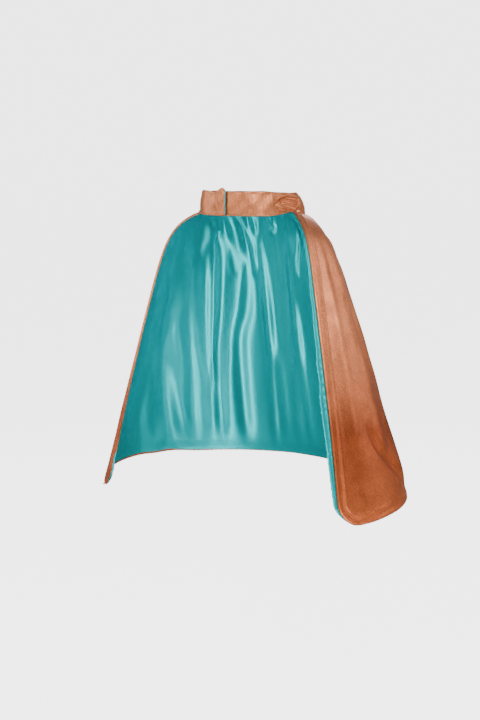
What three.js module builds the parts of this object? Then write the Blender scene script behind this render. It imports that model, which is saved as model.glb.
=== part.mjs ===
// Child's superhero cape: a lined cape gathered into a stand-up neckband that closes at the
// front with hook-and-loop tape. Millimetres, +Z up. The wearer looks along -Y, so +X is the
// wearer's left. The origin is the middle of the neck opening, level with the neck seam.
//
// The cape hangs in the shape it takes on a wearer: it flares over the shoulders and then
// falls in straight lines. Two lengthwise cuts at the sides, below the shoulders, let each
// front swing on its side line; the real cloth is whole there and folds instead.

import * as THREE from 'three';

// Neckband: a loop of three layers, inner face an ellipse.
const NECK_HALF_WIDTH = 65.5;
const NECK_HALF_DEPTH = 57.5;
const BAND_HEIGHT = 30;
const OUTER_THICKNESS = 0.8;
const INTERFACING_THICKNESS = 0.6;
const FACING_THICKNESS = 0.6;
const TAPE_THICKNESS = 0.7;
const LAYER_GAP = 0.3;
const SIDE_LEAN = -9;          // degrees outward, so the band leans in at the sides
const BACK_LEAN = 33;          // degrees outward, where the weight of the cape tips it back
const SEAM_ALLOWANCE_HEIGHT = 9;

// Places round the band, in degrees from the front centre, positive to the wearer's left.
const LEFT_END = -27;
const LEFT_HINGE = 46;
const TAB_END = -5;
const TAB_HINGE = -29.5;
const RIGHT_HINGE = -56;
const HINGE_GAP = 0.5;
const OVERLAP_START = -54;     // from here to the tab the right end rides out over the left end
const SEAM_START = 72.2;       // the cape is sewn on from here, round the back, to its mirror image
const TAPE_INSET = 2;

// Cape: half width, back depth and front depth grow from the neck seam downwards.
const LENGTH = 354;
const SEAM_HALF_WIDTH = 68;
const SEAM_HALF_DEPTH = 60;
const SHOULDER_FALL = 15;      // depth over which the shoulders round off
const SIDE_SHOULDER = 28;
const BACK_SHOULDER = 25;
const FRONT_SHOULDER = 49;
const SIDE_FLARE = 0.32;       // mm outwards for each mm down
const BACK_FLARE = 0.24;
const FRONT_FLARE = 0.12;
const EDGE_ANGLE_TOP = 107.8;  // front edge, in degrees from the back centre
const EDGE_ANGLE_HEM = 129.6;
const EDGE_CURVE = 0.52;
const CORNER_RADIUS = 28;
const SIDE_LINE = 90;          // the fronts swing on this line
const YOKE_DEPTH = 60;
const FRONT_TOP_GAP = 2;
const SIDE_GAP = 1.6;
const SHELL_THICKNESS = 1.0;
const LINING_THICKNESS = 0.8;
const LINING_REACH = 5;        // how far the lining rolls out past the front edge
const CLOTH_GAP = 0.3;

// Oval puckered patch on the wearer's left of the band.
const OVAL_ANGLE = 71;
const OVAL_HALF_LENGTH = 22;
const OVAL_HALF_HEIGHT = 11.5;
const OVAL_RISE = 3.2;
const OVAL_COVER_THICKNESS = 0.8;

const BAND_STEP = 6;           // degrees between the corners of the band's facets
const BAND_ROWS = 3;
const BACK_COLUMNS = 24;
const FRONT_COLUMNS = 4;

const FACING_IN = 0;
const INTERFACING_IN = FACING_IN + FACING_THICKNESS + LAYER_GAP;
const OUTER_IN = INTERFACING_IN + INTERFACING_THICKNESS + LAYER_GAP;
const BAND_OUT = OUTER_IN + OUTER_THICKNESS;
const LOOP_TAPE_IN = BAND_OUT + LAYER_GAP;
const HOOK_TAPE_IN = LOOP_TAPE_IN + TAPE_THICKNESS + LAYER_GAP;
const TAB_OFFSET = HOOK_TAPE_IN + TAPE_THICKNESS + LAYER_GAP;

const copperLame = new THREE.MeshStandardMaterial({ color: 0xb4683f, roughness: 0.5, metalness: 0.6 });
const roseLame = new THREE.MeshStandardMaterial({ color: 0xc4937a, roughness: 0.5, metalness: 0.6 });
const tealSatin = new THREE.MeshStandardMaterial({ color: 0x0aa0a4, roughness: 0.35, metalness: 0 });
const stiffener = new THREE.MeshStandardMaterial({ color: 0xe6e6e2, roughness: 0.9, metalness: 0 });
const tape = new THREE.MeshStandardMaterial({ color: 0x9c8a7c, roughness: 0.95, metalness: 0 });

const radians = THREE.MathUtils.degToRad;
const lerp = THREE.MathUtils.lerp;

function range(from, to, steps) {
  return Array.from({ length: steps + 1 }, (_, i) => lerp(from, to, i / steps));
}

// A closed solid from a grid of quads. point(i, j, layer) gives a corner, with layer 0 the
// inner face and 1 the outer face, and keep(i, j) says which quads belong to the piece.
function sheetSolid(columns, rows, point, keep = () => true) {
  const positions = [];
  const number = (i, j, layer) => (layer * (rows + 1) + j) * (columns + 1) + i;
  for (const layer of [0, 1]) {
    for (let j = 0; j <= rows; j++) {
      for (let i = 0; i <= columns; i++) positions.push(...point(i, j, layer).toArray());
    }
  }
  const kept = (i, j) => i >= 0 && j >= 0 && i < columns && j < rows && keep(i, j);
  const faces = [];
  const quad = (a, b, c, d) => faces.push(a, b, c, a, c, d);
  const wall = (i0, j0, i1, j1) => {
    quad(number(i0, j0, 0), number(i1, j1, 0), number(i1, j1, 1), number(i0, j0, 1));
  };
  for (let j = 0; j < rows; j++) {
    for (let i = 0; i < columns; i++) {
      if (!kept(i, j)) continue;
      quad(number(i, j, 1), number(i + 1, j, 1), number(i + 1, j + 1, 1), number(i, j + 1, 1));
      quad(number(i, j, 0), number(i, j + 1, 0), number(i + 1, j + 1, 0), number(i + 1, j, 0));
      if (!kept(i, j - 1)) wall(i, j, i + 1, j);
      if (!kept(i + 1, j)) wall(i + 1, j, i + 1, j + 1);
      if (!kept(i, j + 1)) wall(i + 1, j + 1, i, j + 1);
      if (!kept(i - 1, j)) wall(i, j + 1, i, j);
    }
  }
  return facingOut(positions, faces);
}

// The geometry of a closed mesh with only the corners its faces use, turned to face outwards.
function facingOut(positions, faces) {
  const corner = (k) => new THREE.Vector3().fromArray(positions, 3 * faces[k]);
  let volume = 0;
  for (let k = 0; k < faces.length; k += 3) {
    volume += corner(k).dot(corner(k + 1).cross(corner(k + 2)));
  }
  const order = volume > 0 ? faces : [...faces].reverse();
  const used = [...new Set(order)];
  const place = new Map(used.map((number, k) => [number, k]));
  const packed = used.flatMap((number) => positions.slice(3 * number, 3 * number + 3));
  const geometry = new THREE.BufferGeometry();
  geometry.setAttribute('position', new THREE.Float32BufferAttribute(packed, 3));
  geometry.setIndex(order.map((number) => place.get(number)));
  geometry.computeVertexNormals();
  return geometry;
}

// Neckband ------------------------------------------------------------------------------

function bandLean(angle) {
  const side = Math.sin(angle) ** 2;
  const back = ((1 - Math.cos(angle)) / 2) ** 5;
  return radians(SIDE_LEAN * side + BACK_LEAN * back);
}

// A point of the band: angle in radians from the front centre, height in mm measured up the
// band from the seam, depth in mm outwards from the inner face.
function bandPoint(angle, height, depth) {
  const base = new THREE.Vector3(
    NECK_HALF_WIDTH * Math.sin(angle), -NECK_HALF_DEPTH * Math.cos(angle), 0);
  const outward = new THREE.Vector3(
    Math.sin(angle) / NECK_HALF_WIDTH, -Math.cos(angle) / NECK_HALF_DEPTH, 0).normalize();
  const lean = bandLean(angle);
  base.addScaledVector(outward, depth + height * Math.sin(lean));
  base.z = height * Math.cos(lean);
  return base;
}

// The right end climbs smoothly outwards until it lies over the left end.
function overlapRise(degrees) {
  return TAB_OFFSET * THREE.MathUtils.smoothstep(degrees, OVERLAP_START, TAB_HINGE);
}

function bandStrip({ from, to, bottom = 0, top = BAND_HEIGHT, depth, thickness, rise = () => 0 }) {
  const angles = range(from, to, Math.max(2, Math.ceil(Math.abs(to - from) / BAND_STEP)));
  const point = (i, j, layer) => bandPoint(
    radians(angles[i]), lerp(bottom, top, j / BAND_ROWS),
    depth + layer * thickness + rise(angles[i]));
  return sheetSolid(angles.length - 1, BAND_ROWS, point);
}

// Facing, interfacing and outer layer of one stretch of the band.
function bandLayers(name, from, to, rise) {
  const stretch = { from, to, rise };
  return [
    mesh(`${name}_facing`, tealSatin, bandStrip({
      ...stretch, depth: FACING_IN, thickness: FACING_THICKNESS })),
    mesh(`${name}_interfacing`, stiffener, bandStrip({
      ...stretch, bottom: SEAM_ALLOWANCE_HEIGHT + LAYER_GAP, top: BAND_HEIGHT - 1,
      depth: INTERFACING_IN, thickness: INTERFACING_THICKNESS })),
    mesh(`${name}_outer`, roseLame, bandStrip({
      ...stretch, depth: OUTER_IN, thickness: OUTER_THICKNESS })),
  ];
}

function neckband() {
  return [
    ...bandLayers('neckband_back', LEFT_HINGE + HINGE_GAP, 360 + RIGHT_HINGE - HINGE_GAP),
    ...bandLayers('neckband_left', LEFT_END, LEFT_HINGE - HINGE_GAP),
    ...bandLayers('neckband_right', RIGHT_HINGE + HINGE_GAP, TAB_HINGE - HINGE_GAP, overlapRise),
    ...bandLayers('neckband_tab', TAB_HINGE + HINGE_GAP, TAB_END, () => TAB_OFFSET),
    mesh('neck_seam_allowance', tealSatin, bandStrip({
      from: SEAM_START, to: 360 - SEAM_START, bottom: LAYER_GAP, top: SEAM_ALLOWANCE_HEIGHT,
      depth: INTERFACING_IN, thickness: INTERFACING_THICKNESS })),
  ];
}

function closure() {
  const from = LEFT_END + TAPE_INSET;
  const to = TAB_END - TAPE_INSET;
  const patch = { from, to, bottom: 4, top: BAND_HEIGHT - 4, thickness: TAPE_THICKNESS };
  return [
    mesh('loop_tape', tape, bandStrip({ ...patch, depth: LOOP_TAPE_IN })),
    mesh('hook_tape', tape, bandStrip({ ...patch, depth: HOOK_TAPE_IN })),
  ];
}

// Lays a lathed dome, made round the Y axis with a radius of 1, on the band as an oval.
function ovalOnBand(profile) {
  const geometry = new THREE.LatheGeometry(profile, 24);
  geometry.deleteAttribute('normal');
  geometry.deleteAttribute('uv');
  const corner = new THREE.Vector3();
  const places = geometry.getAttribute('position');
  for (let k = 0; k < places.count; k++) {
    corner.fromBufferAttribute(places, k);
    const angle = radians(OVAL_ANGLE) + corner.x * OVAL_HALF_LENGTH / NECK_HALF_WIDTH;
    const height = BAND_HEIGHT / 2 + corner.z * OVAL_HALF_HEIGHT;
    places.setXYZ(k, ...bandPoint(angle, height, BAND_OUT + LAYER_GAP + corner.y).toArray());
  }
  const index = [...geometry.getIndex().array];
  return facingOut([...places.array], index);
}

const OVAL_RINGS = [1, 0.85, 0.6, 0.3];

function dome(radius, rise) {
  return OVAL_RINGS.map((share) => new THREE.Vector2(
    radius * share, rise * Math.sqrt(1 - share * share)));
}

function ovalPatch() {
  const inset = 1 - 1.2 / OVAL_HALF_HEIGHT;
  const innerRise = OVAL_RISE - OVAL_COVER_THICKNESS;
  const wadRise = innerRise - LAYER_GAP;
  const wadRadius = inset - 0.05;
  const cover = [
    new THREE.Vector2(0, innerRise),
    ...dome(inset, innerRise).reverse(),
    ...dome(1, OVAL_RISE),
    new THREE.Vector2(0, OVAL_RISE),
  ];
  const wad = [
    new THREE.Vector2(0, 0),
    ...dome(wadRadius, 0).reverse(),
    ...dome(wadRadius, wadRise).slice(1),
    new THREE.Vector2(0, wadRise),
  ];
  return [
    mesh('oval_patch_cover', roseLame, ovalOnBand(cover)),
    mesh('oval_patch_wadding', stiffener, ovalOnBand(wad)),
  ];
}

// Cape ----------------------------------------------------------------------------------

// The middle surface: psi in radians from the back centre, positive to the wearer's left,
// drop in mm down from the neck seam.
function capeMiddle(psi, drop) {
  const rounded = 1 - Math.exp(-drop / SHOULDER_FALL);
  const halfWidth = SEAM_HALF_WIDTH + SIDE_SHOULDER * rounded + SIDE_FLARE * drop;
  const backDepth = SEAM_HALF_DEPTH + BACK_SHOULDER * rounded + BACK_FLARE * drop;
  const frontDepth = SEAM_HALF_DEPTH + FRONT_SHOULDER * rounded + FRONT_FLARE * drop;
  const behind = Math.cos(psi);
  return new THREE.Vector3(
    halfWidth * Math.sin(psi), (behind > 0 ? backDepth : frontDepth) * behind, -drop);
}

const TINY = 1e-3;

function alongPsi(psi, drop) {
  return capeMiddle(psi + TINY, drop).sub(capeMiddle(psi - TINY, drop)).divideScalar(2 * TINY);
}

function capePoint(psi, drop, offset) {
  const down = capeMiddle(psi, drop + TINY).sub(capeMiddle(psi, drop));
  const outward = alongPsi(psi, drop).cross(down).normalize();
  outward.z = 0;      // layers are stacked level, so that hems and seams stay flat
  return capeMiddle(psi, drop).addScaledVector(outward.normalize(), offset);
}

// Angle of the front edge, drawn in round the lower front corner.
function edgeAngle(drop, reach) {
  const share = (drop / LENGTH) ** EDGE_CURVE;
  const angle = radians(lerp(EDGE_ANGLE_TOP, EDGE_ANGLE_HEM, share));
  const below = Math.max(0, drop - (LENGTH - CORNER_RADIUS));
  const drawnIn = CORNER_RADIUS - Math.sqrt(CORNER_RADIUS ** 2 - below ** 2);
  return angle + (reach - drawnIn) / alongPsi(angle, drop).length();
}

// Angles from the side line to the front edge. A layer that reaches past the edge has one more.
function frontAngles(start, drop, reach) {
  const angles = range(start, edgeAngle(drop, 0), FRONT_COLUMNS);
  return reach > 0 ? [...angles, edgeAngle(drop, reach)] : angles;
}

const SHELL = { material: copperLame, inner: CLOTH_GAP / 2, thickness: SHELL_THICKNESS, reach: 0 };
const LINING = {
  material: tealSatin,
  inner: -CLOTH_GAP / 2 - LINING_THICKNESS,
  thickness: LINING_THICKNESS,
  reach: LINING_REACH,
};

// The side line's angle, moved on by that many side gaps.
function sideAngle(drop, gaps) {
  const line = radians(SIDE_LINE);
  return line + gaps * SIDE_GAP / alongPsi(line, drop).length();
}

function backPanel(name, layer) {
  const drops = [CLOTH_GAP, 4, 9, 16, 26, 40, YOKE_DEPTH, ...range(YOKE_DEPTH, LENGTH, 6).slice(1)];
  const yokeRows = drops.indexOf(YOKE_DEPTH);
  const rows = drops.map((drop) => {
    const side = sideAngle(drop, -1);
    const front = frontAngles(side, drop, layer.reach);
    const back = range(-side, side, BACK_COLUMNS).slice(1, -1);
    return [...front.map((angle) => -angle).reverse(), ...back, ...front];
  });
  const point = (i, j, face) => capePoint(
    rows[j][i], drops[j], layer.inner + face * layer.thickness);
  const columns = rows[0].length - 1;
  const frontColumns = (columns - BACK_COLUMNS) / 2;
  const keep = (i, j) => (
    j < yokeRows || (i >= frontColumns && i < frontColumns + BACK_COLUMNS));
  return mesh(name, layer.material, sheetSolid(columns, drops.length - 1, point, keep));
}

function frontPanel(name, layer, mirror) {
  const straight = range(YOKE_DEPTH + FRONT_TOP_GAP, LENGTH - CORNER_RADIUS, 5);
  const round = range(0, Math.PI / 2, 5).slice(1).map(
    (turn) => LENGTH - CORNER_RADIUS + CORNER_RADIUS * Math.sin(turn));
  const drops = [...straight, ...round];
  const rows = drops.map((drop) => frontAngles(sideAngle(drop, 1), drop, layer.reach));
  const point = (i, j, face) => capePoint(
    mirror * rows[j][i], drops[j], layer.inner + face * layer.thickness);
  return mesh(name, layer.material, sheetSolid(rows[0].length - 1, drops.length - 1, point));
}

function cape() {
  return [
    backPanel('shell_back', SHELL),
    backPanel('lining_back', LINING),
    frontPanel('shell_left_front', SHELL, 1),
    frontPanel('lining_left_front', LINING, 1),
    frontPanel('shell_right_front', SHELL, -1),
    frontPanel('lining_right_front', LINING, -1),
  ];
}

function mesh(name, material, geometry) {
  const piece = new THREE.Mesh(geometry, material);
  piece.name = name;
  return piece;
}

const superheroCape = new THREE.Group();
superheroCape.add(...neckband(), ...closure(), ...ovalPatch(), ...cape());

export default superheroCape;
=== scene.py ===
"""A child's superhero cape: metallic copper cloth lined with teal satin, gathered into a neckband.

The cape's pieces are made from one flat pattern. The cloth simulation lets it settle from the
shape it hangs in; the shell then keeps the broad folds and the looser lining keeps them all.
Lengths are in metres. The wearer looks along -Y, so +X is the wearer's left.
"""

import math

import bpy
import numpy as np
from mathutils import Matrix, Vector


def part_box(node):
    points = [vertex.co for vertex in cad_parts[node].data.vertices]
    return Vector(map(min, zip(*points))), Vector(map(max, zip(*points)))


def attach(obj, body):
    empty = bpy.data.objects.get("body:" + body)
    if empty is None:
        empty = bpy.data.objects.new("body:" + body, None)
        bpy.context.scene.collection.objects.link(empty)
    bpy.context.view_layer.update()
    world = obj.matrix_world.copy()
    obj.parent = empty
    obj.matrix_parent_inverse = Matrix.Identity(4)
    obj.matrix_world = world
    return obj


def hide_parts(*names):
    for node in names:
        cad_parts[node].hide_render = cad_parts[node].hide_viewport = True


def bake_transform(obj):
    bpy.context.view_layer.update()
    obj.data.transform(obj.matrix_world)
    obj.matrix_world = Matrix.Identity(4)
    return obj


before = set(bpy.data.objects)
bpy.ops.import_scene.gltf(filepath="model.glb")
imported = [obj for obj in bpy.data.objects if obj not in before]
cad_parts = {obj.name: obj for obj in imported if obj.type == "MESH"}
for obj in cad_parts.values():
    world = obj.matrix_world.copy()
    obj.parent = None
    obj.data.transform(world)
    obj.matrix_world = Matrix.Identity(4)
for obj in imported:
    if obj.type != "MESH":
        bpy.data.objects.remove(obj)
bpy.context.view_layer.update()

# ---------------------------------------------------------------- driving dimensions
MM = 0.001
SEED = 7

# The shape the cape hangs in: psi is the angle from the back centre, drop the depth below the seam.
LENGTH = -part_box("shell_back")[0].z
SEAM_HALF_WIDTH = 68 * MM
SEAM_HALF_DEPTH = 60 * MM
SEAM_INSET = 1 * MM                          # the cloth starts this far inside the band's face
SHOULDER_FALL = 15 * MM
SIDE_SHOULDER = 28 * MM
BACK_SHOULDER = 25 * MM
FRONT_SHOULDER = 49 * MM
SIDE_FLARE, BACK_FLARE, FRONT_FLARE = 0.32, 0.24, 0.12
EDGE_ANGLE_TOP, EDGE_ANGLE_HEM = math.radians(107.8), math.radians(129.6)
EDGE_CURVE = 0.52
CORNER_RADIUS = 28 * MM
CORNER_SAG = 5 * MM                          # the front corners hang lower than the rest of the hem
CORNER_SAG_WIDTH, CORNER_SAG_HEIGHT = 48 * MM, 90 * MM
TUCK = 3 * MM                                # how far the cloth runs up inside the band
CUT_ANGLE, CUT_ROW = math.radians(72), 0.35  # where the back piece meets each front piece, this far down

# The flat pattern and how it is gathered.
GATHER, GATHER_FADE = 0.5, 30 * MM           # extra width at the seam, used up this fast below it
FULLNESS, FULLNESS_FADE = 0.12, 200 * MM
SIDE_FULLNESS = 0.15                         # the fronts take this share of the back's extra width
PATTERN_RADIUS = 287 * MM                    # inner radius of the flat cut

# Thickness of the cloths and of their edges.
SHELL_OUT = 0.5 * MM                         # shell and lining from the middle surface
LINING_IN = 0.5 * MM
ALLOWANCE_WIDTH, ALLOWANCE_RISE = 13 * MM, 0.45 * MM
# Beside the shell's edge: a puffed fold, a pressed groove and the ridge of the allowance's raw edge, each
# as its height, its distance from the edge and its width.
EDGE_RELIEF = np.array([[1.3, 2.4, 1.6], [-1.1, 5.8, 1.5], [1.5, 12.0, 1.1]]) * MM
HEM_FLATNESS, HEM_FLAT = 0.85, (24 * MM, 50 * MM)    # pressed flatter this far from the front edges
ROLL_PLACES = (0, 0.3, 0.7, 1)               # down the front edge, and how far the lining rolls out there
ROLL_REACHES = (4.8 * MM, 6.5 * MM, 10.5 * MM, 6 * MM)
ROLL_HEM, ROLL_UNEVEN = 0.6 * MM, 0.8 * MM

# Neckband: the angle is in degrees from the front centre, positive to the wearer's left.
NECK_HALF_WIDTH = 65.5 * MM
NECK_HALF_DEPTH = 57.5 * MM
BAND_HEIGHT = 30 * MM
BAND_OUT = 2.6 * MM
TAB_OFFSET = 4.9 * MM
SIDE_LEAN, BACK_LEAN = math.radians(-9), math.radians(33)
OVERLAP_START, TAB_HINGE, RIGHT_HINGE, LEFT_HINGE = -54, -29.5, -56, 46
TAB_END, LEFT_END = -5, -27
SEAM_START = 72.2
OVAL_ANGLE, OVAL_HALF_LENGTH, OVAL_HALF_HEIGHT = 68, 23 * MM, 10.5 * MM


# ---------------------------------------------------------------- numbers and meshes
def smooth(x, low, high):
    share = np.clip((x - low) / (high - low), 0, 1)
    return share * share * (3 - 2 * share)


def unit(vectors):
    return vectors / np.maximum(np.linalg.norm(vectors, axis=-1, keepdims=True), 1e-12)


def waves(rng, along, shortest, longest, count):
    """Sum of sine waves of random length along a line, at most 1 high."""
    total = np.zeros(np.shape(along))
    for _ in range(count):
        length, phase, height = rng.uniform(shortest, longest), rng.uniform(0, 2 * np.pi), rng.uniform(0.3, 1)
        total += height * np.sin(2 * np.pi * along / length + phase)
    return total / np.abs(total).max()


def arc_lengths(points):
    steps = np.linalg.norm(np.diff(points, axis=-2), axis=-1)
    return np.concatenate([np.zeros(steps.shape[:-1] + (1,)), np.cumsum(steps, -1)], -1)


def grid_normals(points):
    """Normals of a grid of rows and columns, pointing away from the Z axis."""
    across, down = np.gradient(points, axis=1), np.gradient(points, axis=0)
    normals = unit(np.cross(down, across))
    outward = (normals[..., :2] * points[..., :2]).sum(-1).mean()
    return normals if outward > 0 else -normals


def curved_between(points, times):
    """Points on smooth curves through the rows of a grid, times as many."""
    last = len(points) - 1
    at = np.linspace(0, last, last * times + 1)
    first = np.minimum(at.astype(int), last - 1)
    t = (at - first)[:, None, None]
    a, b, c, d = (points[np.clip(first + k, 0, last)] for k in (-1, 0, 1, 2))
    return 0.5 * (2 * b + (c - a) * t + (2 * a - 5 * b + 4 * c - d) * t**2 + (3 * b - a - 3 * c + d) * t**3)


def sampled(grid, row, column):
    """Values of a grid at fractional row and column numbers."""
    r = np.clip(row, 0, grid.shape[0] - 1.000001)
    c = np.clip(column, 0, grid.shape[1] - 1.000001)
    i, j = r.astype(int), c.astype(int)
    u, v = (r - i)[..., None], (c - j)[..., None]
    return (grid[i, j] * (1 - u) * (1 - v) + grid[i, j + 1] * (1 - u) * v
            + grid[i + 1, j] * u * (1 - v) + grid[i + 1, j + 1] * u * v)


def blurred(grid, cells):
    """A grid of numbers smoothed both ways."""
    reach = int(3 * cells)
    weights = np.exp(-0.5 * (np.arange(-reach, reach + 1) / cells) ** 2)
    weights /= weights.sum()
    for _ in range(2):
        padded = np.pad(grid, ((0, 0), (reach, reach)), mode="edge")
        grid = np.array([np.convolve(row, weights, "valid") for row in padded]).T
    return grid


def quads(rows, columns, start=0, closed=False):
    """Faces of a grid whose corners are numbered row by row."""
    number = start + np.arange(rows * columns).reshape(rows, columns)
    if closed:
        number = np.concatenate([number, number[:, :1]], 1)
    corners = [number[:-1, :-1], number[1:, :-1], number[1:, 1:], number[:-1, 1:]]
    return np.stack(corners, -1).reshape(-1, 4)


def make_mesh(name, points, faces, material, uv=None):
    mesh = bpy.data.meshes.new(name)
    mesh.from_pydata(np.asarray(points, float).tolist(), [], [list(map(int, f)) for f in faces])
    mesh.update()
    mesh.polygons.foreach_set("use_smooth", [True] * len(mesh.polygons))
    if uv is not None:
        corner = np.zeros(len(mesh.loops), int)
        mesh.loops.foreach_get("vertex_index", corner)
        layer = mesh.uv_layers.new(name="cloth")
        layer.data.foreach_set("uv", np.asarray(uv, np.float32)[corner].ravel())
    mesh.materials.append(material)
    piece = bpy.data.objects.new(name, mesh)
    bpy.context.scene.collection.objects.link(piece)
    return piece


def face_along(piece, wanted, kept):
    """Turns a mesh's faces so that its first points' normals agree with wanted, and gives the points
    numbered in kept exactly those, so that the next piece goes on smoothly."""
    own = mesh_normals(piece.data)
    if (own[:len(wanted)] * wanted).sum() < 0:
        piece.data.flip_normals()
        own = -own
    own[kept] = wanted[kept]
    piece.data.normals_split_custom_set_from_vertices(own.tolist())


def grid_mesh(name, grid, uv, material):
    """A mesh of a grid of points, with the cloth's coordinates of each."""
    return make_mesh(name, grid.reshape(-1, 3), quads(*grid.shape[:2]), material, uv.reshape(-1, 2))


def mesh_normals(mesh):
    normals = np.zeros(len(mesh.vertices) * 3, np.float32)
    mesh.vertex_normals.foreach_get("vector", normals)
    return normals.reshape(-1, 3)


# ---------------------------------------------------------------- the shape the cape hangs in
def cape_middle(psi, drop):
    """Middle surface: psi from the back centre towards the wearer's left, drop below the neck seam."""
    fall = np.maximum(drop, 0)
    rounded = 1 - np.exp(-fall / SHOULDER_FALL)
    inset = SEAM_INSET * np.exp(-fall / (3 * MM))
    half_width = SEAM_HALF_WIDTH - inset + SIDE_SHOULDER * rounded + SIDE_FLARE * fall
    back = SEAM_HALF_DEPTH - inset + BACK_SHOULDER * rounded + BACK_FLARE * fall
    front = SEAM_HALF_DEPTH - inset + FRONT_SHOULDER * rounded + FRONT_FLARE * fall
    behind = np.cos(psi)
    depth = np.where(behind > 0, back, front)
    return np.stack([half_width * np.sin(psi), depth * behind, -drop + 0 * psi], -1)


def edge_angle(drop):
    share = (np.maximum(drop, 0) / LENGTH) ** EDGE_CURVE
    return EDGE_ANGLE_TOP + (EDGE_ANGLE_HEM - EDGE_ANGLE_TOP) * share


def row_drops(count):
    """Drops and lengths of evenly spaced rows, measured along the cloth at the side-back."""
    fine = np.linspace(-TUCK, LENGTH, 2000)
    along = arc_lengths(cape_middle(np.full(fine.shape, math.radians(60)), fine))
    even = np.linspace(0, along[-1], count)
    drops = np.interp(even, along, fine)
    return drops, even - np.interp(0, fine, along)


def row_of(drop, shares):
    """Points of one row at shares -1 to 1 of its length from the back centre, and half its length."""
    psi = np.linspace(0, edge_angle(drop), 600)
    along = arc_lengths(cape_middle(psi, np.full(psi.shape, drop)))
    found = np.interp(np.abs(shares) * along[-1], along, psi) * np.sign(shares)
    return cape_middle(found, np.full(found.shape, drop)), along[-1]


# ---------------------------------------------------------------- cloth simulation
CLOTH_COLUMNS, CLOTH_ROWS = 176, 96
SETTLE_FRAMES = 30
BACK_HOLD, FRONT_HOLD, EDGE_HOLD = 3e-5, 2e-4, 0.3    # how firmly the cloth keeps to its start shape
HELD_FROM, HELD_TO = 0.5, 0.7                # shares of a row where the back's hold turns into the fronts'
CLOTH_SETTINGS = {
    "quality": 6, "mass": 0.02, "tension_stiffness": 15, "compression_stiffness": 15, "shear_stiffness": 5,
    "bending_stiffness": 0.1, "tension_damping": 5, "compression_damping": 5, "shear_damping": 5,
    "bending_damping": 0.5, "air_damping": 1, "pin_stiffness": 1}
# Folds the cloth starts with: height, shortest and longest wave, number of waves.
START_GATHERS = (1.2 * MM, 9 * MM, 18 * MM, 20)
START_FOLDS = (3.5 * MM, 35 * MM, 80 * MM, 14)


def flat_pattern(shares, lengths, half_lengths):
    """The cut: a ring sector. Returns its points and each point's place along its row."""
    below = np.maximum(lengths, 0)
    wider = 1 + GATHER * np.exp(-below / GATHER_FADE) + FULLNESS * np.exp(-below / FULLNESS_FADE)
    fine = np.linspace(0, 1, 400)
    density = 1 - (1 - SIDE_FULLNESS) * smooth(fine, 0.45, 0.8)
    spread = np.concatenate([[0], np.cumsum((density[1:] + density[:-1]) / 2)])
    spread = np.interp(np.abs(shares), fine, spread / spread[-1]) * np.sign(shares)
    across = half_lengths[:, None] * (shares + (wider[:, None] - 1) * spread)
    radius = PATTERN_RADIUS + lengths[:, None]
    turn = across / radius
    return np.stack([radius * np.sin(turn), -radius * np.cos(turn), 0 * turn], -1), across


def start_folds(rng, across, lengths):
    """Heights of the folds the cloth starts with: fine gathers at the seam, broad folds below."""
    below = np.maximum(lengths, 0)[:, None]
    height, *lengths_and_count = START_GATHERS
    gathers = height * waves(rng, across, *lengths_and_count) * np.exp(-below / (20 * MM))
    height, *lengths_and_count = START_FOLDS
    broad = height * waves(rng, across, *lengths_and_count)
    return gathers + broad * (1 - np.exp(-below / (30 * MM))) * np.exp(-below / (280 * MM))


def hold_strengths(shares, drops):
    """How firmly each point is held: whole at the seam, loosely below, more along the front edges."""
    share = smooth(np.abs(shares), HELD_FROM, HELD_TO)
    holds = np.tile(BACK_HOLD ** (1 - share) * FRONT_HOLD ** share, (len(drops), 1))
    holds[:, [0, -1]] = EDGE_HOLD
    holds[:, [1, -2]] = EDGE_HOLD / 2
    holds[drops < 0.3 * MM] = 1
    return holds


def settle(start, flat, holds):
    """Lets a grid of cloth with this flat cut settle from its start shape, with Blender's Cloth."""
    rows, columns = start.shape[:2]
    cloth = make_mesh("settling_cloth", start.reshape(-1, 3), quads(rows, columns), None)
    cloth.shape_key_add(name="start")
    cut = cloth.shape_key_add(name="cut")
    cut.data.foreach_set("co", flat.astype(np.float32).ravel())
    group = cloth.vertex_groups.new(name="holds")
    weights = holds.ravel() ** 0.25          # Cloth takes the fourth power of a goal weight
    for weight in np.unique(weights):
        group.add(np.nonzero(weights == weight)[0].tolist(), float(weight), "REPLACE")
    modifier = cloth.modifiers.new("Cloth", "CLOTH")
    for setting, value in CLOTH_SETTINGS.items():
        setattr(modifier.settings, setting, value)
    modifier.settings.vertex_group_mass = group.name
    modifier.settings.rest_shape_key = cut
    modifier.collision_settings.use_collision = False
    modifier.point_cache.frame_start = 1
    modifier.point_cache.frame_end = SETTLE_FRAMES
    scene = bpy.context.scene
    for number in range(1, SETTLE_FRAMES + 1):
        scene.frame_set(number)
    settled = np.zeros(start.size, np.float32)
    shown = cloth.evaluated_get(bpy.context.evaluated_depsgraph_get())
    shown.data.vertices.foreach_get("co", settled)
    bpy.data.objects.remove(cloth)
    scene.frame_set(1)
    return settled.reshape(start.shape).astype(float)


def hang_cloth():
    """The settled cloth and the smooth shape under it as grids, with the rows' drops and lengths."""
    rng = np.random.default_rng(SEED)
    shares = np.linspace(-1, 1, CLOTH_COLUMNS + 1)
    drops, lengths = row_drops(CLOTH_ROWS + 1)
    rows = [row_of(drop, shares) for drop in drops]
    plain = np.array([points for points, _ in rows])
    half_lengths = np.array([half for _, half in rows])
    flat, across = flat_pattern(shares, lengths, half_lengths)
    seam_row = int(np.searchsorted(drops, 0))
    folds = start_folds(rng, across[seam_row], lengths)
    start = plain + grid_normals(plain) * folds[..., None]
    hung = settle(start, flat, hold_strengths(shares, drops))
    return {"hung": hung, "plain": plain, "across": across, "drops": drops, "lengths": lengths,
            "half_lengths": half_lengths}


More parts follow.
